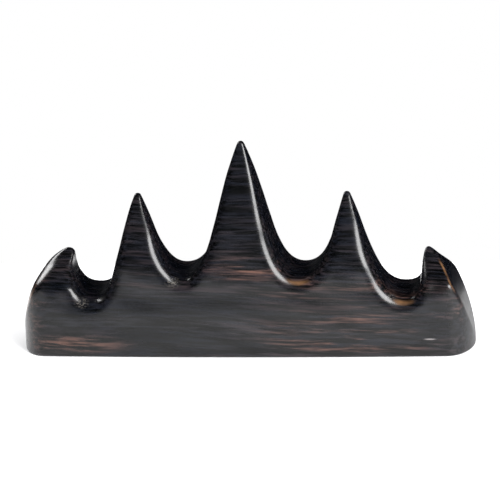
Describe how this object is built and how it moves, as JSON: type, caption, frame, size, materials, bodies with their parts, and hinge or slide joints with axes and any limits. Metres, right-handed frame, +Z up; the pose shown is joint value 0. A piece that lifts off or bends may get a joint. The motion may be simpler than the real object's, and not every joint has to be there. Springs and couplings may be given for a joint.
{
  "type": "brush rest",
  "caption": "One-piece carved hardwood brush rest: an oval block rising in pointed peaks, tallest at the centre, with round-bottomed grooves between them.",
  "frame": {"origin": "centre of the flat underside, under the centre peak", "axes": "+X along the length towards the right-hand hook, -Y is the front, +Z up"},
  "size_m": [0.1614, 0.0348, 0.074],
  "materials": {
    "dark_hardwood": "polished near-black hardwood with fine red-brown streaks along the length"
  },
  "bodies": {
    "root": {"carved_body": "dark_hardwood"}
  },
  "joints": []
}
